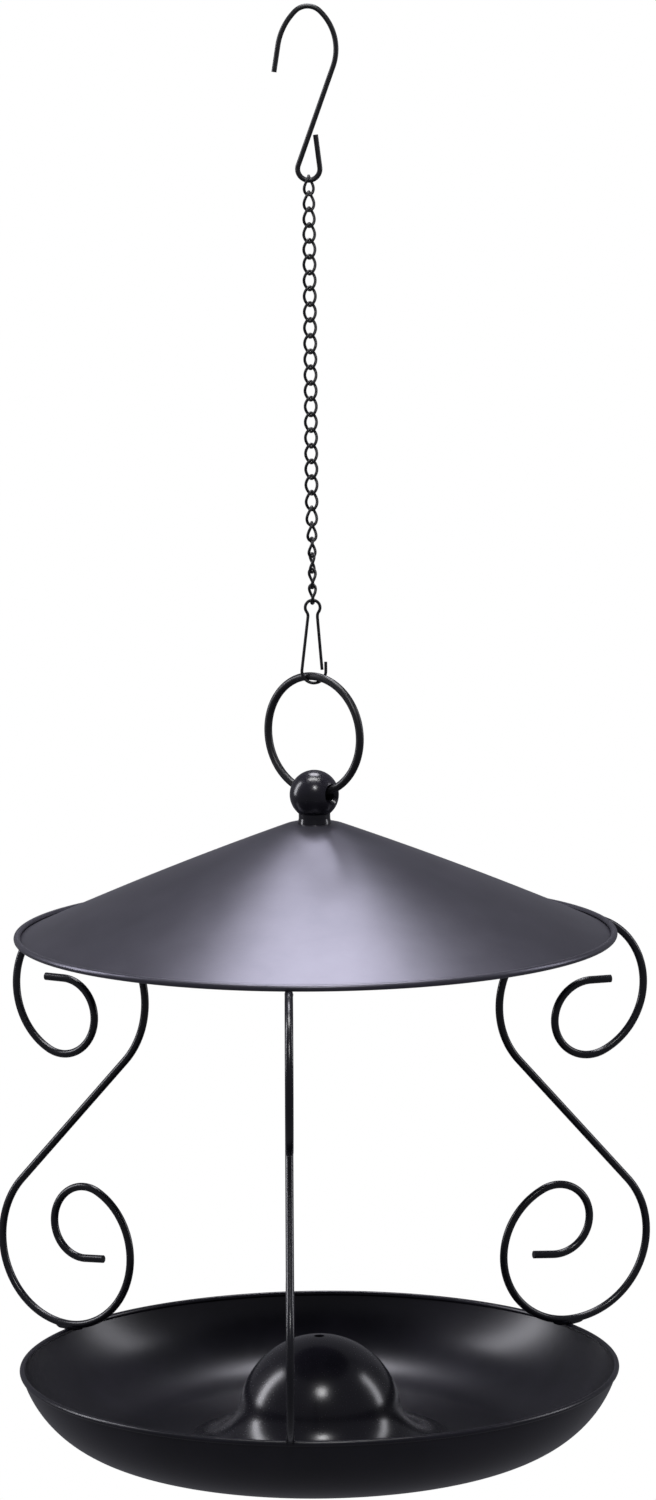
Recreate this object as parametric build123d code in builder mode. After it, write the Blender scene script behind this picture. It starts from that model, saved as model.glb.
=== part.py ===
from build123d import *
from math import asin, atan2, cos, degrees, pi, radians, sin, sqrt
import os

# A hanging bird feeder: hook, chain, snap clip, ring, ball finial, roof, three scroll brackets and tray.
# Millimetres. The origin is the inside of the hook's bend, where it rests on the bar that it hangs from.
# +Z is up, the hook and the clip lie in the XZ plane, and -Y is the front.

# ---- hook ----
hook_wire = 2.1
hook_tip_heading = 81          # degrees above +X, at the free tip
hook_tip_run = 9.7
hook_shoulder_radius, hook_shoulder_turn = 24.7, 36
hook_top_radius, hook_top_turn = 7.2, 89
hook_side_radius = 21
hook_shank_heading = -110
hook_eye_radius = 4.5
hook_eye_end_heading = 97
hook_eye_tail = 12.3

# ---- chain ----
link_count = 27
link_wire = 1.2
link_half_width = 2.3          # to the wire's centre
link_half_length = 3.86
link_twist = 45                # each end is turned this far from the link's middle
link_gap = 0.12
link_half_sections = 8
link_yaw_at_hook, link_yaw_step_at_hook = 45, 9
link_yaw_step_at_clip, link_yaw_steps_at_clip = 18, 6

# ---- snap clip ----
clip_wire = 1.25
clip_head_radius = 3.03
clip_waist_radius = 3.0
clip_waist_turn = 35
clip_arm_lean = 6.9
clip_gate_lean = 4.5
clip_arm_run = 22.0
clip_hook_radius = 4.9
clip_hook_tip = 3.2
clip_gate_end_gap = 0.06
clip_gate_run = 22.0

# ---- ring ----
ring_wire = 3.3
ring_radius = 24.05            # to the wire's centre
ring_turn = -38.5              # the ring's plane, turned about Z from XZ
ring_gap = 0.5

# ---- finial ----
ball_radius = 10.15
ball_bore_above_centre = 0.9
ball_bore_radius = 3.3
ball_mouth_radius = 4.4
ball_mouth_distance = 9.3
ball_mouth_angle = 70
ball_bore_past_middle = 0.5    # each half of the bore runs this far past the other
ring_rest_gap = 0.05           # bore's axis above the lowest point of the ring's centreline
collar_radius, collar_foot_radius = 6.5, 6.9
collar_height = 4.0
stud_radius = 2.5
stud_below_roof = 6.8
stud_chamfer = 0.4
stud_hole_wall = 1.1           # between the stud's blind hole and the ring's bore
thread_clearance = 0.03
washer_radius, washer_thickness = 6.0, 1.0
nut_flats, nut_height = 8.0, 4.0

# ---- roof ----
sheet = 0.8
roof_rim_radius = 124.5
roof_flat_radius = 10.5
roof_shoulder_radius = 5.0
roof_shoulder_find = 0.01      # how near an edge's radius must be to the flat's
roof_cone_rise = 47.1          # groove at the lip to the flat top
roof_cone_swell = 1.0          # how far the cone stands out from straight
roof_lip_radius = 1.4
roof_lip_lift = 0.9
roof_stud_hole = 2.7

# ---- scroll brackets ----
scroll_wire = 3.3
# where each bracket is welded, as azimuths at the roof and at the tray, and the way its plane faces
scroll_welds = {
    "scroll_front": (-4.8, -5.3, 0.5),
    "scroll_right": (115.7, 120.3, 111.7),
    "scroll_left": (-124.6, -119.7, -122.3),
}
scroll_height = 176.4          # between the wire centres at the roof and at the tray, measured upright
scroll_reach = 123.5           # from the feeder's axis to the two weld points
scroll_bow_radius = 35.8
scroll_loop_radius, scroll_loop_turn = 30.9, 154.3
scroll_lower_curl_turn, scroll_upper_curl_turn = 210, 206
scroll_lower_curl_radius, scroll_upper_curl_radius = 15.4, 16.3
scroll_tail = 7.5
weld_gap = 0.02

# ---- tray and seed dome ----
tray_rim_radius = 125.0
tray_bead_radius = 1.2
tray_floor_radius = 81.0
tray_wall_radius = 45.0
tray_floor_depth = 34.0        # rim to the underside of the floor
dome_radius = 34.0
dome_pole_above_floor = 44.3
dome_flare_radius = 20.0
dome_foot_rim = 1.5
dome_hole_radius = 2.2

# ---- heights worked out down the line of load ----
hook_centre_z = hook_wire / 2
hook_over_heading = hook_tip_heading - hook_shoulder_turn - hook_top_turn


def turn_offset(radius, start, end):
    """How far a bend of this radius carries a wire along x and z, between two headings."""
    side = 1 if end > start else -1
    along = side * radius * (sin(radians(end)) - sin(radians(start)))
    up = side * radius * (cos(radians(start)) - cos(radians(end)))
    return along, up


top_x, top_z = turn_offset(hook_top_radius, 0, hook_over_heading)
side_x, side_z = turn_offset(hook_side_radius, hook_over_heading, hook_shank_heading)
eye_x, eye_z = turn_offset(hook_eye_radius, hook_shank_heading, 0)
# the shank is as long as it must be for the eye to hang plumb under the bend
hook_shank_run = -(top_x + side_x + eye_x) / cos(radians(hook_shank_heading))
eye_bottom_z = hook_centre_z + top_z + side_z + eye_z + hook_shank_run * sin(radians(hook_shank_heading))

link_pitch = 2 * link_half_length - link_wire - link_gap
first_link_top_z = eye_bottom_z + (hook_wire + link_wire) / 2 + link_gap
chain_end_z = first_link_top_z - (link_count - 1) * link_pitch - 2 * link_half_length

clip_head_z = chain_end_z + (link_wire + clip_wire) / 2 + link_gap - clip_head_radius
clip_waist_z = clip_head_z - (clip_head_radius + clip_waist_radius) * sin(radians(clip_waist_turn))
clip_waist_x = clip_head_radius - (clip_head_radius + clip_waist_radius) * (1 - cos(radians(clip_waist_turn)))
clip_lean_z = turn_offset(clip_waist_radius, -90, -90 - clip_arm_lean)[1]
clip_turn_z = turn_offset(clip_hook_radius, -90 - clip_arm_lean, 0)[1]
clip_bottom_z = clip_waist_z + clip_lean_z - clip_arm_run * cos(radians(clip_arm_lean)) + clip_turn_z

ring_top_z = clip_bottom_z + (clip_wire + ring_wire) / 2 + ring_gap
ring_centre_z = ring_top_z - ring_radius
ring_bottom_z = ring_centre_z - ring_radius
ring_way = Vector(cos(radians(ring_turn)), sin(radians(ring_turn)), 0)

ball_bore_z = ring_bottom_z + ring_rest_gap
ball_centre_z = ball_bore_z - ball_bore_above_centre
roof_top_z = ball_centre_z - sqrt(ball_radius**2 - collar_radius**2) - collar_height
groove_z = roof_top_z - roof_cone_rise
scroll_top_z = groove_z - sheet - scroll_wire / 2 - weld_gap
scroll_bottom_z = scroll_top_z - scroll_height
tray_rim_z = scroll_bottom_z - scroll_wire / 2 - weld_gap
tray_bead_z = tray_rim_z - tray_bead_radius
tray_base_z = tray_rim_z - tray_floor_depth
tray_floor_z = tray_base_z + sheet


def bent_wire(start, heading, steps):
    """A bent wire's centreline, in the BuildLine block that calls this. Each step is a length and a turn:
    turn 0 is a straight run of that length, and any other turn is a bend of that radius."""
    point = start
    for size, turn in steps:
        if turn:
            way = (cos(radians(heading)), sin(radians(heading)))
            piece = JernArc(start=point, tangent=way, radius=size, arc_size=turn)
            heading += turn
        else:
            piece = PolarLine(point, size, heading)
        point = piece @ 1


def draw_wire(path, diameter, rounded_ends=()):
    """Round wire along a path, in the BuildPart block that calls this, with cut ends rounded at 0 or 1."""
    with BuildSketch(Plane(origin=path @ 0, z_dir=path % 0)) as section:
        Circle(diameter / 2)
    sweep(sections=section.sketch, path=path)
    for end in rounded_ends:
        with Locations(path @ end):
            Sphere(diameter / 2)


def finish(part, name):
    part.label = name
    export_step(part, f"parts/{name}.step")


def make_top_hook():
    back_x, back_z = turn_offset(hook_top_radius, hook_over_heading + hook_top_turn, 0)
    rise_x, rise_z = turn_offset(hook_shoulder_radius, hook_tip_heading, hook_tip_heading - hook_shoulder_turn)
    tip_x = -back_x - rise_x - hook_tip_run * cos(radians(hook_tip_heading))
    tip_z = hook_centre_z - back_z - rise_z - hook_tip_run * sin(radians(hook_tip_heading))
    bends = [
        (hook_tip_run, 0),
        (hook_shoulder_radius, -hook_shoulder_turn),
        (hook_top_radius, -hook_top_turn),
        (hook_side_radius, hook_shank_heading - hook_over_heading),
        (hook_shank_run, 0),
        (hook_eye_radius, hook_eye_end_heading - hook_shank_heading),
        (hook_eye_tail, 0),
    ]
    with BuildPart() as hook:
        with BuildLine(Plane.XZ) as path:
            bent_wire((tip_x, tip_z), hook_tip_heading, bends)
        draw_wire(path.line, hook_wire, (0, 1))
    finish(hook.part, "top_hook")


def link_yaw(number):
    """How far a link's middle is turned about Z. The chain turns at the hook, hangs flat, and turns again
    towards the clip."""
    at_hook = max(0, link_yaw_at_hook - link_yaw_step_at_hook * (number - 1))
    first_turned = link_count - link_yaw_steps_at_clip
    steps_at_clip = min(max(number - first_turned + 1, 0), link_yaw_steps_at_clip)
    return at_hook + link_yaw_step_at_clip * steps_at_clip


def link_section_plane(angle, middle_z, yaw):
    """The plane across a link's wire, this far round its oval. The oval's plane twists from end to end."""
    turned = yaw + link_twist * cos(angle)
    across = Vector(1, 0, 0).rotate(Axis.Z, turned)
    facing = Vector(0, 1, 0).rotate(Axis.Z, turned)
    reach = link_half_width * sin(angle)
    point = across * reach + Vector(0, 0, middle_z + link_half_length * cos(angle))
    along = across * (link_half_width * cos(angle)) - facing * (reach * radians(link_twist) * sin(angle))
    return Plane(origin=point, x_dir=facing, z_dir=along - Vector(0, 0, link_half_length * sin(angle)))


def make_chain_link(number):
    """Two half ovals of wire, joined at the link's top and bottom."""
    middle_z = first_link_top_z - link_half_length - (number - 1) * link_pitch
    with BuildPart() as link:
        for start in (0, pi):
            for section in range(link_half_sections + 1):
                angle = start + pi * section / link_half_sections
                with BuildSketch(link_section_plane(angle, middle_z, link_yaw(number))):
                    Circle(link_wire / 2)
            loft()
    finish(link.part, f"chain_link_{number:02d}")


def make_clip_body():
    """The head loop, the fixed arm, and the hook that it ends in."""
    bends = [
        (clip_waist_radius, -clip_waist_turn),
        (clip_head_radius, 180 + 2 * clip_waist_turn),
        (clip_waist_radius, -clip_waist_turn - clip_arm_lean),
        (clip_arm_run, 0),
        (clip_hook_radius, 180 + clip_arm_lean),
        (clip_hook_tip, 0),
    ]
    with BuildPart() as clip:
        with BuildLine(Plane.XZ) as path:
            bent_wire((clip_waist_x, clip_waist_z), 90, bends)
        draw_wire(path.line, clip_wire, (1,))
    finish(clip.part, "clip_body")


def make_clip_gate():
    """The free arm. Its rounded top sits just under the head loop's end, where it pivots."""
    top = (clip_waist_x, clip_waist_z - clip_wire / 2 - clip_gate_end_gap)
    with BuildPart() as gate:
        with BuildLine(Plane.XZ) as path:
            bent_wire(top, -90, [(clip_waist_radius, clip_gate_lean), (clip_gate_run - clip_wire, 0)])
        draw_wire(path.line, clip_wire, (0, 1))
    finish(gate.part, "clip_gate")


def make_hanging_ring():
    ring_plane = Plane(origin=(0, 0, ring_centre_z), x_dir=ring_way, z_dir=ring_way.cross(Vector(0, 0, 1)))
    with BuildPart(ring_plane) as ring:
        Torus(ring_radius, ring_wire / 2)
    finish(ring.part, "hanging_ring")


def make_finial_ball():
    """The ball, with the ring's cross bore countersunk at both mouths, and a blind hole for the stud."""
    stud_hole_top = ball_bore_z - ball_bore_radius - stud_hole_wall
    bore_depth = ball_mouth_distance + ball_bore_past_middle
    with BuildPart() as ball:
        with Locations((0, 0, ball_centre_z)):
            Sphere(ball_radius)
        for side in (-1, 1):
            mouth = Vector(0, 0, ball_bore_z) + ring_way * side * ball_mouth_distance
            with Locations(Plane(origin=mouth, z_dir=ring_way * side)):
                CounterSinkHole(ball_bore_radius, ball_mouth_radius, bore_depth, ball_mouth_angle)
        with BuildSketch(Plane.XY.offset(stud_hole_top)):
            Circle(stud_radius + thread_clearance)
        extrude(amount=-ball_radius, mode=Mode.SUBTRACT)
    finish(ball.part, "finial_ball")
    return stud_hole_top


def make_finial_collar():
    """The neck: a short flared tube with a hollow seat for the ball."""
    top_z = roof_top_z + collar_height
    with BuildPart() as collar:
        with BuildSketch(Plane.XZ):
            Polygon(
                (stud_radius + thread_clearance, roof_top_z),
                (collar_foot_radius, roof_top_z),
                (collar_radius, roof_top_z + collar_height / 2),
                (collar_radius, top_z),
                (stud_radius + thread_clearance, top_z),
                align=None,
            )
        revolve(axis=Axis.Z)
        with Locations((0, 0, ball_centre_z)):
            Sphere(ball_radius + weld_gap, mode=Mode.SUBTRACT)
    finish(collar.part, "finial_collar")


def make_stud_set(stud_top_z):
    """The stud, and the washer and nut that clamp the roof to the finial."""
    washer_top_z = roof_top_z - sheet
    nut_top_z = washer_top_z - washer_thickness
    with BuildPart() as stud:
        with BuildSketch(Plane.XY.offset(washer_top_z - stud_below_roof)):
            Circle(stud_radius)
        extrude(amount=stud_top_z - washer_top_z + stud_below_roof)
        chamfer(stud.edges().filter_by(GeomType.CIRCLE), stud_chamfer)
    finish(stud.part, "finial_stud")

    with BuildPart() as washer:
        with BuildSketch(Plane.XY.offset(nut_top_z)):
            Circle(washer_radius)
            Circle(roof_stud_hole, mode=Mode.SUBTRACT)
        extrude(amount=washer_thickness)
    finish(washer.part, "stud_washer")

    with BuildPart() as nut:
        with BuildSketch(Plane.XY.offset(nut_top_z - nut_height)):
            RegularPolygon(nut_flats / 2, 6, major_radius=False)
            Circle(stud_radius + thread_clearance, mode=Mode.SUBTRACT)
        extrude(amount=nut_height)
    finish(nut.part, "stud_nut")


def make_roof():
    """A spun cone with a flat top, and a lip rolled up round its rim."""
    lip = (roof_rim_radius - roof_lip_radius, groove_z + roof_lip_lift)
    cone_angle = atan2(roof_cone_rise, lip[0] - roof_flat_radius)
    swell = (roof_cone_swell * sin(cone_angle), roof_cone_swell * cos(cone_angle))

    def face_points(depth):
        """The shoulder, the middle of the cone and the groove, this far below the outer face."""
        middle = ((roof_flat_radius + lip[0]) / 2 + swell[0], (roof_top_z + groove_z) / 2 + swell[1] - depth)
        return (roof_flat_radius, roof_top_z - depth), middle, (lip[0], groove_z - depth)

    outer, inner = face_points(0), face_points(sheet)
    with BuildPart() as roof:
        with BuildSketch(Plane.XZ):
            with BuildLine():
                Line((0, roof_top_z), outer[0])
                ThreePointArc(*outer)
                Line(outer[2], inner[2])
                ThreePointArc(*reversed(inner))
                Line(inner[0], (0, roof_top_z - sheet))
                Line((0, roof_top_z - sheet), (0, roof_top_z))
            make_face()
            with Locations(lip):
                Circle(roof_lip_radius)
        revolve(axis=Axis.Z)
        shoulder = roof.edges().filter_by(GeomType.CIRCLE).filter_by(
            lambda edge: abs(edge.radius - roof_flat_radius) < roof_shoulder_find
        )
        fillet(shoulder.sort_by(Axis.Z)[-1], roof_shoulder_radius)
        with BuildSketch(Plane.XY.offset(roof_top_z)):
            Circle(roof_stud_hole)
        extrude(amount=-2 * sheet, mode=Mode.SUBTRACT)
    finish(roof.part, "roof")


def half_scroll(curl_radius, curl_turn, cross_run, cross_angle):
    """Steps for one end of a bracket, from the middle of its straight run to the end of its curl."""
    return [
        (cross_run / 2, 0),
        (scroll_bow_radius, cross_angle - 180),
        (scroll_loop_radius, -scroll_loop_turn),
        (curl_radius, -curl_turn),
        (scroll_tail, 0),
    ]


def facing(azimuth):
    """The level direction at this azimuth: 0 is the front and 90 the right."""
    return Vector(sin(radians(azimuth)), -cos(radians(azimuth)), 0)


def make_scroll(name, roof_azimuth, tray_azimuth, heading):
    """One S-shaped bracket in the plane through its two welds. Its two bows are joined by their inner common
    tangent, so the straight run's slope follows from the distance between the welds."""
    roof_weld = facing(roof_azimuth) * scroll_reach + Vector(0, 0, scroll_top_z)
    tray_weld = facing(tray_azimuth) * scroll_reach + Vector(0, 0, scroll_bottom_z)
    upright = (roof_weld - tray_weld).normalized()
    outward = facing(heading) - upright * facing(heading).dot(upright)
    bow_spacing = (roof_weld - tray_weld).length - 2 * scroll_bow_radius
    cross_angle = 90 - degrees(asin(2 * scroll_bow_radius / bow_spacing))
    cross_run = sqrt(bow_spacing**2 - (2 * scroll_bow_radius) ** 2)
    plane = Plane(origin=(roof_weld + tray_weld) / 2, x_dir=outward, z_dir=outward.cross(upright))
    with BuildPart() as scroll:
        for start, radius, turn in ((-cross_angle, scroll_lower_curl_radius, scroll_lower_curl_turn),
                                    (180 - cross_angle, scroll_upper_curl_radius, scroll_upper_curl_turn)):
            with BuildLine(plane) as path:
                bent_wire((0, 0), start, half_scroll(radius, turn, cross_run, cross_angle))
            draw_wire(path.line, scroll_wire, (1,))
    finish(scroll.part, name)


def make_tray():
    """A spun dish: flat floor, one round wall, and a bead rolled at the rim."""
    bead_r = tray_rim_radius - tray_bead_radius
    wall_centre = (tray_floor_radius, tray_base_z + tray_wall_radius)
    rim_angle = asin((tray_bead_z - wall_centre[1]) / tray_wall_radius)
    middle_angle = (rim_angle - pi / 2) / 2

    def on_wall(radius, angle):
        return wall_centre[0] + radius * cos(angle), wall_centre[1] + radius * sin(angle)

    inner = tray_wall_radius - sheet
    with BuildPart() as tray:
        with BuildSketch(Plane.XZ):
            with BuildLine():
                Line((0, tray_base_z), (tray_floor_radius, tray_base_z))
                ThreePointArc(
                    (tray_floor_radius, tray_base_z),
                    on_wall(tray_wall_radius, middle_angle),
                    on_wall(tray_wall_radius, rim_angle),
                )
                Line(on_wall(tray_wall_radius, rim_angle), on_wall(inner, rim_angle))
                ThreePointArc(
                    on_wall(inner, rim_angle), on_wall(inner, middle_angle), (tray_floor_radius, tray_floor_z)
                )
                Line((tray_floor_radius, tray_floor_z), (0, tray_floor_z))
                Line((0, tray_floor_z), (0, tray_base_z))
            make_face()
            with Locations((bead_r, tray_bead_z)):
                Circle(tray_bead_radius)
        revolve(axis=Axis.Z)
    finish(tray.part, "tray")


def make_seed_dome():
    """A spun dome that pushes the seed outwards, with a flared foot welded to the tray's floor."""
    foot_z = tray_floor_z + weld_gap
    sphere_z = foot_z + dome_pole_above_floor - dome_radius
    flare_z = foot_z + sheet + dome_flare_radius
    # the flare's arc touches both the sphere and the foot's flat top
    flare_r = sqrt((dome_radius + dome_flare_radius) ** 2 - (flare_z - sphere_z) ** 2)
    lean = atan2(flare_z - sphere_z, flare_r)

    def shell_side(thickness):
        """The points of the sphere and the flare, this far inside the outer face."""
        ball, flare = dome_radius - thickness, dome_flare_radius + thickness
        half = (lean + pi / 2) / 2
        quarter = (pi + lean + 3 * pi / 2) / 2
        return [
            (0, sphere_z + ball),
            (ball * cos(half), sphere_z + ball * sin(half)),
            (ball * cos(lean), sphere_z + ball * sin(lean)),
            (flare_r + flare * cos(quarter), flare_z + flare * sin(quarter)),
            (flare_r, flare_z - flare),
        ]

    outer, inner = shell_side(0), shell_side(sheet)
    foot_r = flare_r + dome_foot_rim
    with BuildPart() as dome:
        with BuildSketch(Plane.XZ):
            with BuildLine():
                ThreePointArc(*outer[0:3])
                ThreePointArc(*outer[2:5])
                Line(outer[4], (foot_r, outer[4][1]))
                Line((foot_r, outer[4][1]), (foot_r, inner[4][1]))
                Line((foot_r, inner[4][1]), inner[4])
                ThreePointArc(*inner[4:1:-1])
                ThreePointArc(*inner[2::-1])
                Line(inner[0], outer[0])
            make_face()
        revolve(axis=Axis.Z)
        with BuildSketch(Plane.XY.offset(outer[0][1])):
            Circle(dome_hole_radius)
        extrude(amount=-3 * sheet, mode=Mode.SUBTRACT)
    finish(dome.part, "seed_dome")


def main():
    os.makedirs("parts", exist_ok=True)
    make_top_hook()
    for number in range(1, link_count + 1):
        make_chain_link(number)
    make_clip_body()
    make_clip_gate()
    make_hanging_ring()
    stud_top_z = make_finial_ball() - weld_gap
    make_finial_collar()
    make_stud_set(stud_top_z)
    make_roof()
    for name, (roof_azimuth, tray_azimuth, heading) in scroll_welds.items():
        make_scroll(name, roof_azimuth, tray_azimuth, heading)
    make_tray()
    make_seed_dome()
    print("hook eye", round(eye_bottom_z, 2), "chain end", round(chain_end_z, 2), "clip", round(clip_bottom_z, 2))
    print("ring", round(ring_centre_z, 2), "ball", round(ball_centre_z, 2), "roof", round(roof_top_z, 2))
    print("groove", round(groove_z, 2), "tray rim", round(tray_rim_z, 2), "base", round(tray_base_z, 2))


main()
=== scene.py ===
from math import asin, atan2, ceil, cos, degrees, hypot, pi, radians, sin, sqrt

import bpy
from mathutils import Euler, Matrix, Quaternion, Vector


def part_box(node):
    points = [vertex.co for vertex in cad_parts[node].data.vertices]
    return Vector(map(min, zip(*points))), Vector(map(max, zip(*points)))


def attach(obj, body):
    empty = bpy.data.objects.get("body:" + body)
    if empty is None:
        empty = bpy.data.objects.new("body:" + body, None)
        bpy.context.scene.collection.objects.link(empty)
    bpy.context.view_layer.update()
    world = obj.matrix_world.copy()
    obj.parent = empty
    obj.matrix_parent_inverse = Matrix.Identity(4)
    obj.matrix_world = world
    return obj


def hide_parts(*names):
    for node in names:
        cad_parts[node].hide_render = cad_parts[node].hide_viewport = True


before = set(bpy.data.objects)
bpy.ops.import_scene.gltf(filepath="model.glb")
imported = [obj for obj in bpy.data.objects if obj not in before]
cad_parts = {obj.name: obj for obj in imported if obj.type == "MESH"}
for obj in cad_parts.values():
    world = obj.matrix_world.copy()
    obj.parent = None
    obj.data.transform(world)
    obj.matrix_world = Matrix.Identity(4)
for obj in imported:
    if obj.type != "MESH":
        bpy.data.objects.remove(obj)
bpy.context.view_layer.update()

# A hanging bird feeder in black and charcoal enamel. Sizes are in millimetres, and become metres in the meshes.
MM = 0.001


def top_of(node):
    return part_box(node)[1][2] / MM


def foot_of(node):
    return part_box(node)[0][2] / MM


# ---------------------------------------------------------------- camera, lights and floor

CAMERA_DROP, CAMERA_ROLL = 8.04, -0.5      # degrees below the level, and round the line of sight
camera = bpy.data.objects.new("camera", bpy.data.cameras.new("camera"))
camera.data.sensor_width = 36
camera.data.lens = 129.4
camera.location = (0.0058, -2.193, 0.008)
camera.rotation_mode = "QUATERNION"
camera.rotation_quaternion = (Euler((radians(90 - CAMERA_DROP), 0, 0)).to_quaternion()
                              @ Quaternion((0, 0, 1), radians(CAMERA_ROLL)))
camera.data.clip_end = 60
bpy.context.scene.collection.objects.link(camera)
bpy.context.scene.camera = camera
bpy.context.scene.view_settings.view_transform = "Standard"

FEEDER_MIDDLE = Vector((0, 0, -0.46))


def softbox(name, azimuth, elevation, distance, size, power, colour=(1, 1, 1), aim=FEEDER_MIDDLE):
    """An area light round the feeder. Azimuth 0 is the front and 90 the right."""
    a, e = radians(azimuth), radians(elevation)
    way = Vector((sin(a) * cos(e), -cos(a) * cos(e), sin(e)))
    lamp = bpy.data.lights.new(name, "AREA")
    lamp.shape = "RECTANGLE"
    lamp.size, lamp.size_y = size
    lamp.energy = power
    lamp.color = colour
    box = bpy.data.objects.new(name, lamp)
    box.location = aim + way * distance
    box.rotation_mode = "QUATERNION"
    box.rotation_quaternion = way.to_track_quat("Z", "Y")
    box.visible_camera = False
    bpy.context.scene.collection.objects.link(box)
    return box


softbox("overhead softbox", 180, 66, 1.6, (0.6, 0.5), 11, (0.93, 0.92, 1.0))
softbox("top softbox", 0, 86, 1.3, (0.8, 0.3), 11)
softbox("front lamp", 4, 44, 1.7, (0.3, 0.3), 7)
softbox("left strip", -100, 24, 1.5, (0.3, 1.2), 12, (0.95, 0.95, 1.0))
softbox("right strip", 100, 20, 1.7, (0.3, 1.1), 7, (0.95, 0.95, 1.0))

world = bpy.data.worlds.new("studio air")
world.use_nodes = True
world.node_tree.nodes["Background"].inputs["Color"].default_value = (0.16, 0.16, 0.18, 1)
bpy.context.scene.world = world


# ---------------------------------------------------------------- writing nodes

class Socket:
    """A node's output. A sum on it adds one Math node to its tree."""

    def __init__(self, tree, out):
        self.tree, self.out = tree, out

    def other(self, name):
        """Another output of the same node."""
        return Socket(self.tree, self.out.node.outputs[name])

    def math(self, operation, *terms):
        return add(self.tree, "ShaderNodeMath", {"operation": operation}, dict(enumerate(terms)))

    def __add__(self, other):
        return self.math("ADD", self, other)

    def __radd__(self, other):
        return self.math("ADD", other, self)

    def __sub__(self, other):
        return self.math("SUBTRACT", self, other)

    def __rsub__(self, other):
        return self.math("SUBTRACT", other, self)

    def __mul__(self, other):
        return self.math("MULTIPLY", self, other)

    def __rmul__(self, other):
        return self.math("MULTIPLY", other, self)

    def __truediv__(self, other):
        return self.math("DIVIDE", self, other)

    def floor(self):
        return self.math("FLOOR", self)

    def sine(self):
        return self.math("SINE", self)

    def cosine(self):
        return self.math("COSINE", self)

    def root(self):
        return self.math("SQRT", self)

    def size(self):
        return self.math("ABSOLUTE", self)

    def at_most(self, other):
        return self.math("MINIMUM", self, other)

    def at_least(self, other):
        return self.math("MAXIMUM", self, other)

    def between(self, low, high):
        """0 at low, 1 at high, eased and held at both ends."""
        return add(self.tree, "ShaderNodeMapRange", {"interpolation_type": "SMOOTHSTEP"},
                   {"Value": self, "From Min": low, "From Max": high})


def add(tree, kind, settings=None, values=None, out=0):
    """One node: its type, its settings, then a value or a socket for each input."""
    node = tree.nodes.new(kind)
    for name, setting in (settings or {}).items():
        setattr(node, name, setting)
    for key, value in (values or {}).items():
        if isinstance(value, Socket):
            tree.links.new(value.out, node.inputs[key])
        else:
            node.inputs[key].default_value = value
    return Socket(tree, node.outputs[out]) if node.outputs else None


# ---------------------------------------------------------------- finishes

class Finish:
    """A finish being mixed: its material, and the patterns that most of them share."""

    def __init__(self, name):
        self.material = bpy.data.materials.new(name)
        self.material.use_nodes = True
        self.tree = self.material.node_tree
        self.tree.nodes.clear()
        self.place = add(self.tree, "ShaderNodeTexCoord", out="Object")
        parts = add(self.tree, "ShaderNodeSeparateXYZ", values={0: self.place})
        self.x, self.y, self.z = parts, parts.other("Y"), parts.other("Z")

    def from_axis(self):
        """Distance from the feeder's axis, in metres."""
        return (self.x * self.x + self.y * self.y).root()

    def noise(self, scale, detail=2, roughness=0.5, at=None):
        values = {"Vector": at or self.place, "Scale": scale, "Detail": detail, "Roughness": roughness}
        return add(self.tree, "ShaderNodeTexNoise", {"noise_dimensions": "3D"}, values)

    def attribute(self, name):
        return add(self.tree, "ShaderNodeAttribute", {"attribute_name": name}, out="Fac")

    def joined(self, x, y, z):
        return add(self.tree, "ShaderNodeCombineXYZ", values={0: x, 1: y, 2: z})

    def tint(self, share, first, second):
        """A colour between two others."""
        return add(self.tree, "ShaderNodeMix", {"data_type": "RGBA"}, {0: share, 6: first, 7: second}, out=2)

    def relief(self, height, depth, under=None):
        """A bump of this depth in metres, on top of another if given."""
        values = {"Strength": 1.0, "Distance": depth, "Height": height}
        if under:
            values["Normal"] = under
        return add(self.tree, "ShaderNodeBump", values=values)

    def done(self, **values):
        named = {key.replace("_", " "): value for key, value in values.items()}
        paint = add(self.tree, "ShaderNodeBsdfPrincipled", values=named)
        add(self.tree, "ShaderNodeOutputMaterial", values={"Surface": paint})
        return self.material


def rgb(red, green, blue):
    return red, green, blue, 1


def powder_coat(name, dark, pale, roughness, peel, metallic=0.0, coat=0.0, coat_roughness=0.1):
    """Sprayed and baked enamel: fine peel, slow drift in the gloss, and specks of dust under the skin."""
    finish = Finish(name)
    drift = finish.noise(14, 3)
    cloud = finish.noise(70, 4, 0.6)
    specks = finish.noise(1500, 1).between(0.68, 0.74)
    peel_height = finish.noise(650, 2) + 0.35 * finish.noise(1900, 1) + 0.6 * specks
    colour = finish.tint((drift * 0.6 + cloud * 0.4).between(0.35, 0.65), dark, pale)
    gloss = roughness * (0.82 + 0.24 * drift + 0.12 * cloud) + 0.08 * specks
    return finish.done(
        Base_Color=colour,
        Metallic=metallic,
        Roughness=gloss,
        Normal=finish.relief(peel_height, peel),
        Coat_Weight=coat,
        Coat_Roughness=coat_roughness,
    )


def roof_enamel():
    """Satin enamel on spun sheet, with the spinning's faint rings round the axis."""
    finish = Finish("roof_enamel")
    drift = finish.noise(11, 3)
    cloud = finish.noise(60, 4, 0.6)
    out = finish.from_axis()
    rings = finish.noise(900, 2, at=finish.joined(out, finish.z * 0.3, 0))
    specks = finish.noise(1500, 1).between(0.69, 0.75)
    height = finish.noise(600, 2) * 0.8 + rings * 0.5 + specks * 0.6
    colour = finish.tint((drift * 0.6 + cloud * 0.4).between(0.3, 0.7),
                         rgb(0.08, 0.078, 0.098), rgb(0.105, 0.102, 0.126))
    gloss = 0.31 + 0.05 * drift + 0.03 * cloud + 0.05 * specks
    return finish.done(Base_Color=colour, Metallic=0.8, Roughness=gloss, Normal=finish.relief(height, 0.000012))


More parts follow.
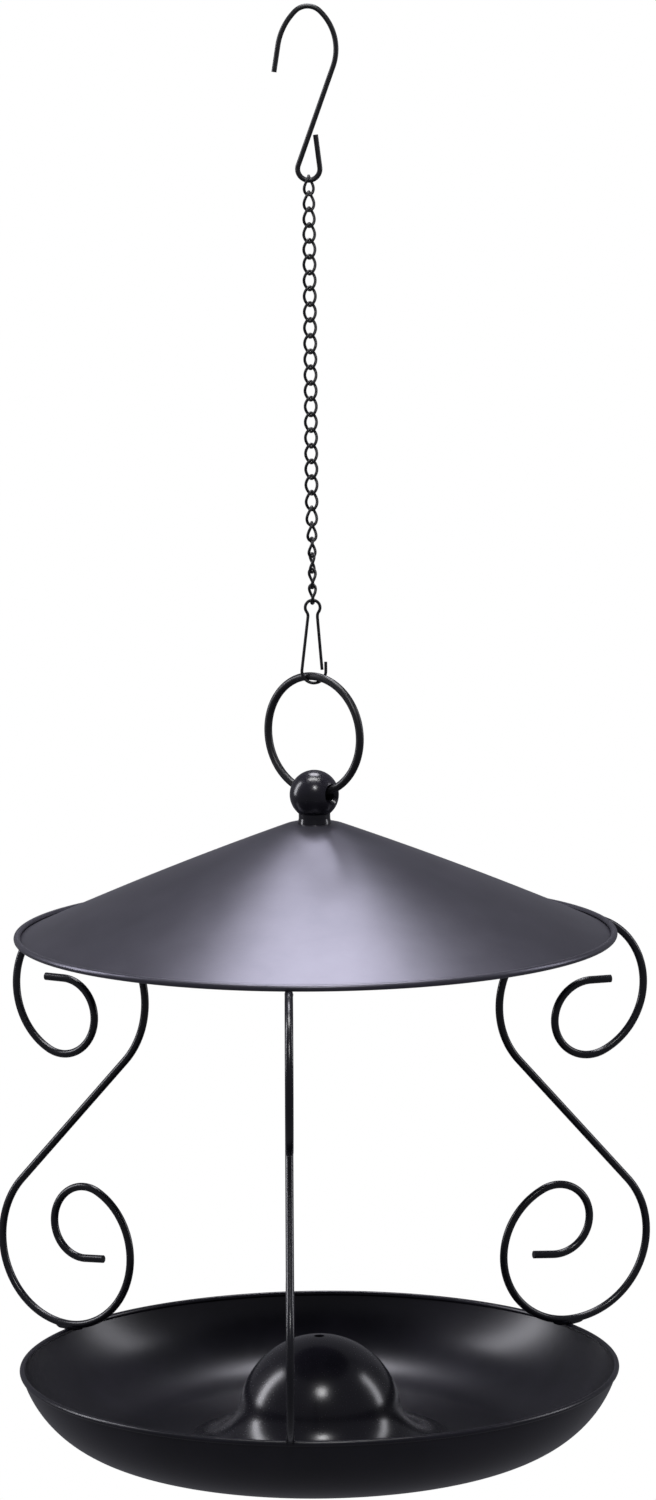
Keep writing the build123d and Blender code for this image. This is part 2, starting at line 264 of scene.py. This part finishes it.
def black_wire():
    """Lacquered wire, worn towards the steel where a link or hook rubs."""
    finish = Finish("black_wire")
    wear = finish.attribute("wear")
    grain = finish.noise(420, 3)
    rubbed = (wear * (0.35 + 0.9 * grain)).between(0.45, 0.95)
    height = finish.noise(2200, 2)
    colour = finish.tint(rubbed * 0.55, rgb(0.012, 0.012, 0.014), rgb(0.16, 0.155, 0.15))
    return finish.done(
        Base_Color=colour,
        Metallic=0.25 + 0.5 * rubbed,
        Roughness=0.3 + 0.12 * grain,
        Normal=finish.relief(height, 0.0000006),
    )


def zinc_plate():
    """Bright zinc on a turned part, with tool rings along its axis."""
    finish = Finish("zinc_hardware")
    rings = finish.noise(3200, 2, at=finish.joined(0, 0, finish.z))
    cloud = finish.noise(240, 3)
    colour = finish.tint(cloud, rgb(0.42, 0.43, 0.45), rgb(0.62, 0.62, 0.6))
    return finish.done(
        Base_Color=colour,
        Metallic=1.0,
        Roughness=0.28 + 0.16 * cloud,
        Normal=finish.relief(rings + 0.4 * cloud, 0.00001),
    )


def backdrop_white():
    material = bpy.data.materials.new("backdrop white")
    material.use_nodes = True
    tree = material.node_tree
    tree.nodes.clear()
    glow = add(tree, "ShaderNodeEmission", values={"Color": rgb(1, 1, 1), "Strength": 1.0})
    add(tree, "ShaderNodeOutputMaterial", values={"Surface": glow})
    return material


roof_paint = roof_enamel()
gloss_paint = powder_coat("gloss_enamel", rgb(0.006, 0.006, 0.009), rgb(0.012, 0.011, 0.017), 0.22, 0.000003,
                          metallic=0.1)
tray_paint = powder_coat("tray_enamel", rgb(0.006, 0.006, 0.010), rgb(0.012, 0.011, 0.018), 0.3, 0.000006,
                         metallic=0.15)
scroll_paint = powder_coat("scroll_enamel", rgb(0.006, 0.006, 0.009), rgb(0.011, 0.011, 0.015), 0.26, 0.0000006,
                           metallic=0.1)
wire_lacquer = black_wire()
zinc = zinc_plate()


# ---------------------------------------------------------------- geometry trees

GEOMETRY = "NodeSocketGeometry"
NUMBER = "NodeSocketFloat"
COUNT = "NodeSocketInt"
MATERIAL = "NodeSocketMaterial"


class Tool:
    """A geometry tree being built, with its named inputs."""

    def __init__(self, name, **inputs):
        self.group = bpy.data.node_groups.new(name, "GeometryNodeTree")
        self.group.interface.new_socket("Geometry", in_out="INPUT", socket_type=GEOMETRY)
        for label, kind in inputs.items():
            self.group.interface.new_socket(label.replace("_", " "), in_out="INPUT", socket_type=kind)
        self.group.interface.new_socket("Finish", in_out="INPUT", socket_type=MATERIAL)
        self.group.interface.new_socket("Geometry", in_out="OUTPUT", socket_type=GEOMETRY)
        self.inputs = self.add("NodeGroupInput")

    def add(self, kind, settings=None, values=None, out=0):
        return add(self.group, kind, settings, values, out)

    def size(self, label):
        return self.inputs.other(label)

    def joined(self, x, y, z):
        return self.add("ShaderNodeCombineXYZ", values={0: x, 1: y, 2: z})

    def skin(self, path, radius, sides):
        """A round wire along a curve whose own radius scales it."""
        circle = self.add("GeometryNodeCurvePrimitiveCircle", {"mode": "RADIUS"},
                          {"Resolution": sides, "Radius": radius})
        return self.add("GeometryNodeCurveToMesh",
                        values={"Curve": path, "Profile Curve": circle, "Fill Caps": True})

    def done(self, shape, sharp_angle=35):
        """Smooth faces, sharp edges past an angle, plain geometry and the finish."""
        merged = self.add("GeometryNodeMergeByDistance", values={"Geometry": shape, "Distance": 0.000001})
        smooth = self.add("GeometryNodeSetShadeSmooth", {"domain": "FACE"},
                          {"Geometry": merged, "Shade Smooth": True})
        turn = self.add("GeometryNodeInputMeshEdgeAngle")
        folded = self.add("FunctionNodeCompare", {"data_type": "FLOAT", "operation": "GREATER_THAN"},
                          {0: turn, 1: radians(sharp_angle)})
        creased = self.add("GeometryNodeSetShadeSmooth", {"domain": "EDGE"},
                           {"Geometry": smooth, "Selection": folded, "Shade Smooth": False})
        real = self.add("GeometryNodeRealizeInstances", values={"Geometry": creased})
        painted = self.add("GeometryNodeSetMaterial",
                           values={"Geometry": real, "Material": self.size("Finish")})
        self.add("NodeGroupOutput", values={"Geometry": painted})
        return self.group


def wire_bender():
    """Round wire along the base mesh's chain of edges, with its open ends rounded over."""
    tool = Tool("wire bender", Radius=NUMBER, Sides=COUNT, Unevenness=NUMBER)
    path = tool.add("GeometryNodeMeshToCurve", values={"Mesh": tool.size("Geometry")})
    along = tool.add("GeometryNodeSplineParameter", out="Length")
    whole = tool.add("GeometryNodeSplineLength", out="Length")
    from_end = along.at_most(whole - along)
    depth = 1 - (from_end / tool.size("Radius")).at_most(1)
    cap = (1 - depth * depth).at_least(0).root()
    closed = tool.add("GeometryNodeInputSplineCyclic")
    shape = tool.add("GeometryNodeSwitch", {"input_type": "FLOAT"},
                     {"Switch": closed, "False": cap, "True": 1.0})
    lumps = tool.add("ShaderNodeTexNoise", {"noise_dimensions": "3D"}, {"Scale": 45.0, "Detail": 2.0})
    swell = 1 + tool.size("Unevenness") * (lumps - 0.5)
    sized = tool.add("GeometryNodeSetCurveRadius", values={"Curve": path, "Radius": shape * swell})
    return tool.done(tool.skin(sized, tool.size("Radius"), tool.size("Sides")), 80)


def link_former():
    """One curb link: an oval of wire whose plane twists from one end to the other, butted at one side."""
    tool = Tool("link former", Wire_radius=NUMBER, Half_width=NUMBER, Half_length=NUMBER, Twist=NUMBER,
                Yaw=NUMBER, Middle_height=NUMBER, Steps=COUNT, Sides=COUNT)
    circle = tool.add("GeometryNodeCurvePrimitiveCircle", {"mode": "RADIUS"},
                      {"Resolution": tool.size("Steps")})
    angle = tool.add("GeometryNodeInputIndex") * (2 * pi) / tool.size("Steps")
    up = angle.cosine()
    reach = tool.size("Half width") * angle.sine()
    turned = tool.size("Yaw") + tool.size("Twist") * up
    point = tool.joined(reach * turned.cosine(), reach * turned.sine(),
                        tool.size("Middle height") + tool.size("Half length") * up)
    path = tool.add("GeometryNodeSetPosition", values={"Geometry": circle, "Position": point})
    seam = (angle - pi / 2).size().between(0.0, 0.16)
    sized = tool.add("GeometryNodeSetCurveRadius", values={"Curve": path, "Radius": 0.86 + 0.14 * seam})
    worn = tool.add("GeometryNodeStoreNamedAttribute", {"data_type": "FLOAT", "domain": "POINT"},
                    {"Geometry": sized, "Name": "wear", "Value": up.size().between(0.72, 1.0)})
    return tool.done(tool.skin(worn, tool.size("Wire radius"), tool.size("Sides")), 80)


def spinning_lathe():
    """The base mesh's row of points, spun round the Z axis into a skin."""
    tool = Tool("spinning lathe", Sectors=COUNT, Waviness=NUMBER)
    rows = tool.add("GeometryNodeAttributeDomainSize", {"component": "MESH"},
                    {"Geometry": tool.size("Geometry")})
    grid = tool.add("GeometryNodeMeshGrid", values={"Vertices X": tool.size("Sectors") + 1, "Vertices Y": rows})
    index = tool.add("GeometryNodeInputIndex")
    sector = (index / rows).floor()
    row = index - sector * rows
    place = tool.add("GeometryNodeInputPosition")
    point = tool.add("GeometryNodeSampleIndex", {"data_type": "FLOAT_VECTOR", "domain": "POINT"},
                     {"Geometry": tool.size("Geometry"), "Value": place, "Index": row})
    turn = sector * (2 * pi) / tool.size("Sectors")
    spun = tool.add("ShaderNodeVectorRotate", {"rotation_type": "Z_AXIS"}, {"Vector": point, "Angle": turn})
    waves = tool.add("ShaderNodeTexNoise", {"noise_dimensions": "3D"},
                     {"Vector": spun, "Scale": 9.0, "Detail": 1.0})
    lift = tool.joined(0, 0, (waves - 0.5) * tool.size("Waviness"))
    shape = tool.add("GeometryNodeSetPosition", values={"Geometry": grid, "Position": spun, "Offset": lift})
    return tool.done(shape, 40)


def welder():
    """A lumpy bead at each point of the base mesh, lying along the point's own direction."""
    tool = Tool("welder", Bead_length=NUMBER, Bead_radius=NUMBER, Roughness=NUMBER)
    ball = tool.add("GeometryNodeMeshIcoSphere", values={"Radius": 1.0, "Subdivisions": 4})
    along = tool.add("GeometryNodeInputNamedAttribute", {"data_type": "FLOAT_VECTOR"}, {"Name": "along"})
    turn = tool.add("FunctionNodeAlignEulerToVector", {"axis": "X"}, {"Vector": along})
    girth = tool.size("Bead radius")
    scale = tool.joined(tool.size("Bead length"), girth, girth)
    beads = tool.add("GeometryNodeInstanceOnPoints", values={
        "Points": tool.size("Geometry"), "Instance": ball, "Rotation": turn, "Scale": scale})
    real = tool.add("GeometryNodeRealizeInstances", values={"Geometry": beads})
    lumps = tool.add("ShaderNodeTexNoise", {"noise_dimensions": "3D"}, {"Scale": 380.0, "Detail": 2.0})
    normal = tool.add("GeometryNodeInputNormal")
    push = tool.add("ShaderNodeVectorMath", {"operation": "SCALE"},
                    {0: normal, "Scale": (lumps - 0.5) * tool.size("Roughness")})
    rough = tool.add("GeometryNodeSetPosition", values={"Geometry": real, "Offset": push})
    return tool.done(rough, 80)


bend_wire, form_link, spin, weld = wire_bender(), link_former(), spinning_lathe(), welder()


def worked(name, base, tree, body, slot_name, replaced, finish, **sizes):
    """Run a tree on a base mesh, keep the plain mesh, and put it on its body."""
    holder = bpy.data.objects.new(name, base)
    bpy.context.scene.collection.objects.link(holder)
    modifier = holder.modifiers.new(tree.name, "NODES")
    modifier.node_group = tree
    sizes["Finish"] = finish
    for item in tree.interface.items_tree:
        label = item.name.replace(" ", "_")
        if item.in_out == "INPUT" and label in sizes:
            modifier[item.identifier] = sizes[label]
    graph = bpy.context.evaluated_depsgraph_get()
    mesh = bpy.data.meshes.new_from_object(holder.evaluated_get(graph), depsgraph=graph)
    bpy.data.objects.remove(holder)
    piece = bpy.data.objects.new(name, mesh)
    mesh.name = name
    bpy.context.scene.collection.objects.link(piece)
    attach(piece, body)
    if replaced:
        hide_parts(*replaced)
    return piece


def row_of_points(name, points, closed=False):
    """A base mesh: points in millimetres, joined in order."""
    count = len(points)
    edges = [(i, i + 1) for i in range(count - 1)] + ([(count - 1, 0)] if closed else [])
    base = bpy.data.meshes.new(name)
    base.from_pydata([Vector(point) * MM for point in points], edges, [])
    return base


# ---------------------------------------------------------------- lines and arcs in a plane

BEND_STEP = 2.5                # degrees of bend from point to point
RUN_STEP = 4                   # millimetres from point to point on a straight run
END_STEPS = 8                  # points over a rounded wire end


def bent(start, heading, steps):
    """Points of a bent wire. Each step is a length and a turn, and turn 0 is a straight run."""
    points = [Vector(start)]
    for size, turn in steps:
        if turn:
            parts = ceil(abs(turn) / BEND_STEP)
            side = 1 if turn > 0 else -1
            across = radians(heading + 90 * side)
            centre = points[-1] + size * Vector((cos(across), sin(across)))
            for part in range(1, parts + 1):
                swept = radians(heading + turn * part / parts - 90 * side)
                points.append(centre + size * Vector((cos(swept), sin(swept))))
            heading += turn
        else:
            way = Vector((cos(radians(heading)), sin(radians(heading))))
            parts = max(1, ceil(size / RUN_STEP))
            corner = points[-1]
            points += [corner + way * size * part / parts for part in range(1, parts + 1)]
    return points


def with_end(points, radius):
    """The same points with a wire's rounded end past the last one, closely stepped."""
    way = (points[-1] - points[-2]).normalized()
    last = points[-1]
    stops = [last + way * radius * sin(pi / 2 * step / END_STEPS) for step in range(1, END_STEPS + 1)]
    return points + stops


def rounded_both(points, radius):
    points = with_end(points, radius)
    return with_end(points[::-1], radius)[::-1]


def stood_up(points, out=Vector((1, 0, 0)), offset=0.0):
    """Plane points stood in an upright plane that holds the Z axis."""
    return [out * point.x + Vector((0, 0, point.y + offset)) for point in points]


def arc(centre, radius, start, end, step=4.0):
    parts = max(2, ceil(abs(end - start) / step))
    turns = [radians(start + (end - start) * part / parts) for part in range(parts + 1)]
    return [Vector((centre[0] + radius * cos(t), centre[1] + radius * sin(t))) for t in turns]


def arc_through(a, b, c, parts):
    """Points of the arc from a to c through b."""
    ax, ay, bx, by, cx, cy = *a, *b, *c
    d = 2 * (ax * (by - cy) + bx * (cy - ay) + cx * (ay - by))
    ux = ((ax**2 + ay**2) * (by - cy) + (bx**2 + by**2) * (cy - ay) + (cx**2 + cy**2) * (ay - by)) / d
    uy = ((ax**2 + ay**2) * (cx - bx) + (bx**2 + by**2) * (ax - cx) + (cx**2 + cy**2) * (bx - ax)) / d
    radius = hypot(ax - ux, ay - uy)
    start, end = atan2(ay - uy, ax - ux), atan2(cy - uy, cx - ux)
    if end - start > pi:
        end -= 2 * pi
    if start - end > pi:
        end += 2 * pi
    turns = [start + (end - start) * part / parts for part in range(parts + 1)]
    return [Vector((ux + radius * cos(t), uy + radius * sin(t))) for t in turns]


# ---------------------------------------------------------------- top hook

HOOK_WIRE = 2.1
HOOK_START = 81                # heading of the hook's tip
HOOK_BENDS = [(9.7, 0), (24.7, -36), (7.2, -89), (21, -66)]
HOOK_EYE = [(4.5, 207), (12.3, 0)]
FIRST_SHANK, SHANK_LEAN, SHANK_TRIES = 26.0, 70, 30


def hook_path():
    """The hook's bends, set plumb with the bend's inside at the origin."""
    eye_foot = foot_of("top_hook") + HOOK_WIRE / 2
    # the shank runs down until the eye's own foot is at its height
    shank = FIRST_SHANK
    for _ in range(SHANK_TRIES):
        points = bent((0, 0), HOOK_START, HOOK_BENDS + [(shank, 0)] + HOOK_EYE)
        drop = max(p.y for p in points) - min(p.y for p in points)
        shank -= (drop - (HOOK_WIRE / 2 - eye_foot)) / sin(radians(SHANK_LEAN))
    crown = max(points, key=lambda p: p.y)
    return [Vector((p.x - crown.x, p.y - crown.y + HOOK_WIRE / 2)) for p in points]


hook_line = stood_up(rounded_both(hook_path(), HOOK_WIRE / 2))
worked("hanging_hook", row_of_points("hook path", hook_line), bend_wire,
       "hook", "black_wire", ["top_hook"], wire_lacquer, Radius=HOOK_WIRE / 2 * MM, Sides=28, Unevenness=0.03)

# ---------------------------------------------------------------- chain

LINK_COUNT = 27
LINK_HALF_WIDTH, LINK_HALF_LENGTH, LINK_WIRE = 2.3, 3.86, 1.2
LINK_TWIST = 45
YAW_AT_HOOK, YAW_STEP_AT_HOOK = 45, 9
YAW_STEP_AT_CLIP, LAST_FLAT_LINK, TURNED_LINKS = 18, 20, 6


def link_yaw(number):
    """The chain turns at the hook, hangs flat, and turns again towards the clip."""
    at_hook = max(0, YAW_AT_HOOK - YAW_STEP_AT_HOOK * (number - 1))
    return at_hook + YAW_STEP_AT_CLIP * min(max(number - LAST_FLAT_LINK, 0), TURNED_LINKS)


for number in range(1, LINK_COUNT + 1):
    node = f"chain_link_{number:02d}"
    middle = (top_of(node) + foot_of(node)) / 2
    worked(f"curb_link_{number:02d}", row_of_points("link seed", [(0, 0, 0), (1, 0, 0)]), form_link,
           f"link_{number:02d}", "black_wire", [node], wire_lacquer,
           Wire_radius=LINK_WIRE / 2 * MM, Half_width=LINK_HALF_WIDTH * MM, Half_length=LINK_HALF_LENGTH * MM,
           Twist=radians(LINK_TWIST), Yaw=radians(link_yaw(number)), Middle_height=middle * MM,
           Steps=56, Sides=14)

# ---------------------------------------------------------------- snap clip

CLIP_WIRE = 1.25
CLIP_WAIST, CLIP_NECK_TURN, CLIP_HEAD = 1.96, -35, (3.03, 250)
CLIP_ARM, ARM_LEAN, GATE_LEAN, NECK_RADIUS = 22.0, 6.9, 4.5, 3.0
CLIP_HOOK, CLIP_TIP, GATE_GAP = 4.9, 3.2, 0.06
clip_steps = [(NECK_RADIUS, CLIP_NECK_TURN), CLIP_HEAD, (NECK_RADIUS, CLIP_NECK_TURN - ARM_LEAN),
              (CLIP_ARM, 0), (CLIP_HOOK, 180 + ARM_LEAN), (CLIP_TIP, 0)]
clip_points = bent((CLIP_WAIST, 0), 90, clip_steps)
clip_lift = foot_of("clip_body") + CLIP_WIRE / 2 - min(p.y for p in clip_points)
waist = Vector((CLIP_WAIST, clip_lift))


def clip_part(name, points, body, node):
    """One of the clip's two wires."""
    path = row_of_points(f"{name} path", stood_up(rounded_both(points, CLIP_WIRE / 2)))
    worked(name, path, bend_wire, body, "black_wire", [node], wire_lacquer,
           Radius=CLIP_WIRE / 2 * MM, Sides=20, Unevenness=0.03)


clip_part("clip_wire", [Vector((p.x, p.y + clip_lift)) for p in clip_points], "clip", "clip_body")
gate_top = waist - Vector((0, CLIP_WIRE / 2 + GATE_GAP))
gate_points = bent(gate_top, -90, [(NECK_RADIUS, GATE_LEAN), (CLIP_ARM - CLIP_WIRE, 0)])
clip_part("clip_spring_arm", gate_points, "clip_gate", "clip_gate")

# ---------------------------------------------------------------- ring

RING_WIRE = 3.3
RING_TURN = radians(-38.5)
ring_way = Vector((cos(RING_TURN), sin(RING_TURN), 0))
ring_high, ring_low = top_of("hanging_ring"), foot_of("hanging_ring")
ring_middle = (ring_high + ring_low) / 2
ring_radius = (ring_high - ring_low - RING_WIRE) / 2
ring_points = arc((0, ring_middle), ring_radius, -90, 270, 2.5)[:-1]
worked("carrying_ring", row_of_points("ring path", stood_up(ring_points, ring_way), closed=True), bend_wire,
       "ring", "black_wire", ["hanging_ring"], wire_lacquer,
       Radius=RING_WIRE / 2 * MM, Sides=32, Unevenness=0.02)

# ---------------------------------------------------------------- roof

ROOF_SHEET = 0.8
ROOF_RIM, ROOF_RISE, ROOF_FLAT, ROOF_BORE = 124.5, 47.1, 10.5, 2.7
ROOF_BULGE, SHOULDER, SHOULDER_STEPS, CONE_PARTS = 1.0, 1.6, 8, 110
LIP_RADIUS, LIP_RAISE = 1.4, 0.9
roof_top = top_of("roof")
groove = roof_top - ROOF_RISE
lip = Vector((ROOF_RIM - LIP_RADIUS, groove + LIP_RAISE))


def roof_face(depth):
    """The flat top, the shoulder and the cone, this far under the outer face."""
    slope = atan2(ROOF_RISE, lip.x - ROOF_FLAT)
    middle = ((ROOF_FLAT + lip.x) / 2 + ROOF_BULGE * sin(slope),
              (roof_top + groove) / 2 + ROOF_BULGE * cos(slope) - depth)
    foot = (lip.x - LIP_RADIUS * 0.6, groove - depth + 0.3)      # tucked into the rolled lip
    cone = arc_through((ROOF_FLAT, roof_top - depth), middle, foot, CONE_PARTS)
    corner, first = cone[0], cone[2]
    before = Vector((corner.x - SHOULDER, corner.y))
    blend = []
    for step in range(SHOULDER_STEPS + 1):
        t = step / SHOULDER_STEPS
        blend.append(before * (1 - t) ** 2 + corner * 2 * t * (1 - t) + first * t * t)
    return [Vector((ROOF_BORE, roof_top - depth))] + blend + cone[3:]


def roof_profile():
    """Right round the sheet: over the top, round the rolled lip, and back underneath."""
    outer, inner = roof_face(0), roof_face(ROOF_SHEET)
    roll = arc(lip, LIP_RADIUS, 172, -118, 9)
    return outer + roll + inner[::-1] + [outer[0]]


worked("roof_cone", row_of_points("roof profile", stood_up(roof_profile())), spin,
       "feeder", "roof_enamel", ["roof"], roof_paint, Sectors=256, Waviness=0.00025)

# ---------------------------------------------------------------- finial and its stud, kept as they are

for node, finish in (("finial_ball", gloss_paint), ("finial_collar", gloss_paint), ("finial_stud", zinc),
                     ("stud_washer", zinc), ("stud_nut", zinc)):
    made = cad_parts[node].data
    made.materials.clear()
    made.materials.append(finish)

# ---------------------------------------------------------------- scroll brackets

SCROLL_WIRE = 3.3
scroll_top = top_of("scroll_front") - SCROLL_WIRE / 2
scroll_foot = foot_of("scroll_front") + SCROLL_WIRE / 2
BOW, LOOP, LOOP_TURN, TAIL, REACH = 35.8, 30.9, 154.3, 7.5, 123.5
LOWER_CURL, UPPER_CURL = (15.4, 210), (16.3, 206)       # radius and turn
WELD_SHIFT = 0.8               # from the wire's middle towards the rim
# azimuths of the welds at the roof and at the tray, and of the way each bracket faces
SCROLLS = {
    "scroll_front": (-4.8, -5.3, 0.5),
    "scroll_right": (115.7, 120.3, 111.7),
    "scroll_left": (-124.6, -119.7, -122.3),
}


def facing(azimuth):
    """The level direction at this azimuth: 0 is the front and 90 the right."""
    return Vector((sin(radians(azimuth)), -cos(radians(azimuth)), 0))


def bracket_line(roof_weld, tray_weld, heading):
    """The wire's middle line, in the plane through both welds."""
    upright = (roof_weld - tray_weld).normalized()
    outward = (facing(heading) - upright * facing(heading).dot(upright)).normalized()
    spacing = (roof_weld - tray_weld).length - 2 * BOW
    cross_angle = 90 - degrees(asin(2 * BOW / spacing))
    cross_run = sqrt(spacing**2 - (2 * BOW) ** 2)
    halves = []
    for start, curl in ((-cross_angle, LOWER_CURL), (180 - cross_angle, UPPER_CURL)):
        radius, turn = curl
        steps = [(cross_run / 2, 0), (BOW, cross_angle - 180), (LOOP, -LOOP_TURN), (radius, -turn), (TAIL, 0)]
        halves.append(bent((0, 0), start, steps))
    lower, upper = halves
    middle = (roof_weld + tray_weld) / 2
    line = rounded_both(upper[:0:-1] + lower, SCROLL_WIRE / 2)
    return [middle + outward * point.x + upright * point.y for point in line]


weld_points, weld_ways = [], []
for node, (roof_azimuth, tray_azimuth, heading) in SCROLLS.items():
    roof_weld = facing(roof_azimuth) * REACH + Vector((0, 0, scroll_top))
    tray_weld = facing(tray_azimuth) * REACH + Vector((0, 0, scroll_foot))
    line = bracket_line(roof_weld, tray_weld, heading)
    worked(node.replace("scroll", "bracket"), row_of_points("bracket path", line), bend_wire,
           "feeder", "scroll_enamel", [node], scroll_paint,
           Radius=SCROLL_WIRE / 2 * MM, Sides=32, Unevenness=0.015)
    weld_points += [roof_weld + Vector((0, 0, WELD_SHIFT)), tray_weld - Vector((0, 0, WELD_SHIFT))]
    weld_ways += [facing(heading)] * 2

weld_seats = row_of_points("weld seats", weld_points)
along = weld_seats.attributes.new("along", "FLOAT_VECTOR", "POINT")
along.data.foreach_set("vector", [value for way in weld_ways for value in way])
worked("weld_beads", weld_seats, weld, "feeder", "scroll_enamel", [], scroll_paint,
       Bead_length=7.0 * MM, Bead_radius=1.7 * MM, Roughness=0.7 * MM)

# ---------------------------------------------------------------- tray and seed dome

TRAY_RIM, TRAY_BEAD, TRAY_FLOOR, TRAY_WALL, TRAY_SHEET = 125.0, 1.2, 81.0, 45.0, 0.8
tray_rim = top_of("tray")
tray_base = foot_of("tray")


def tray_profile():
    """Out along the floor, up the wall, over the rolled bead, and back inside."""
    bead = Vector((TRAY_RIM - TRAY_BEAD, tray_rim - TRAY_BEAD))
    wall = Vector((TRAY_FLOOR, tray_base + TRAY_WALL))
    rim_angle = degrees(asin((bead.y - wall.y) / TRAY_WALL))
    outside = arc(wall, TRAY_WALL, -90, rim_angle - 1.5, 1.6)
    inside = arc(wall, TRAY_WALL - TRAY_SHEET, rim_angle - 1.5, -90, 1.6)
    roll = arc(bead, TRAY_BEAD, -80, 200, 10)
    return [Vector((0, tray_base))] + outside + roll + inside + [Vector((0, tray_base + TRAY_SHEET))]


worked("seed_tray", row_of_points("tray profile", stood_up(tray_profile())), spin,
       "feeder", "tray_enamel", ["tray"], tray_paint, Sectors=256, Waviness=0.0002)

DOME, FLARE, DOME_RISE, DOME_SHEET, HOLE, FOOT_RIM = 34.0, 20.0, 44.3, 0.8, 2.2, 1.5
dome_foot = foot_of("seed_dome")


def dome_profile():
    """Over the outside from the hole's edge to the flared foot, and back up inside."""
    sphere = dome_foot + DOME_RISE - DOME
    flare_z = dome_foot + DOME_SHEET + FLARE
    flare_r = sqrt((DOME + FLARE) ** 2 - (flare_z - sphere) ** 2)
    lean = degrees(atan2(flare_z - sphere, flare_r))

    def side(thickness):
        ball, flare = DOME - thickness, FLARE + thickness
        edge = degrees(asin(sqrt(1 - (HOLE / ball) ** 2)))
        return (arc((0, sphere), ball, edge, lean, 2.0)
                + arc((flare_r, flare_z), flare, 180 + lean, 270, 4.0)[1:])

    outer, inner = side(0), side(DOME_SHEET)
    edge_r = flare_r + FOOT_RIM
    foot = [Vector((edge_r, dome_foot + DOME_SHEET)), Vector((edge_r, dome_foot))]
    return outer + foot + inner[::-1] + [outer[0]]


worked("seed_dome_skin", row_of_points("dome profile", stood_up(dome_profile())), spin,
       "feeder", "gloss_enamel", ["seed_dome"], gloss_paint, Sectors=160, Waviness=0.0)

# ---------------------------------------------------------------- backdrop

BACKDROP_RADIUS, FLOOR_DROP, SHELL_SECTORS = 20.0, 1.1, 48


def studio_shell():
    """A pale floor that runs out to a pale dome of sky, seen only by the camera."""
    rows = [Vector((0, -FLOOR_DROP))]
    rows += [Vector((BACKDROP_RADIUS * cos(radians(t)), BACKDROP_RADIUS * sin(radians(t)) - FLOOR_DROP))
             for t in range(0, 91, 6)]
    shell_base = bpy.data.meshes.new("studio shell")
    sectors = SHELL_SECTORS
    verts, faces = [], []
    for row in rows:
        for s in range(sectors):
            turn = 2 * pi * s / sectors
            verts.append((row.x * cos(turn), row.x * sin(turn), row.y))
    for r in range(len(rows) - 1):
        for s in range(sectors):
            n = (s + 1) % sectors
            faces.append((r * sectors + s, r * sectors + n, (r + 1) * sectors + n, (r + 1) * sectors + s))
    shell_base.from_pydata(verts, [], faces)
    shell_base.materials.append(backdrop_white())
    shell = bpy.data.objects.new("studio shell", shell_base)
    shell.visible_diffuse = False
    shell.visible_glossy = False
    shell.visible_transmission = False
    shell.visible_shadow = False
    bpy.context.scene.collection.objects.link(shell)


studio_shell()
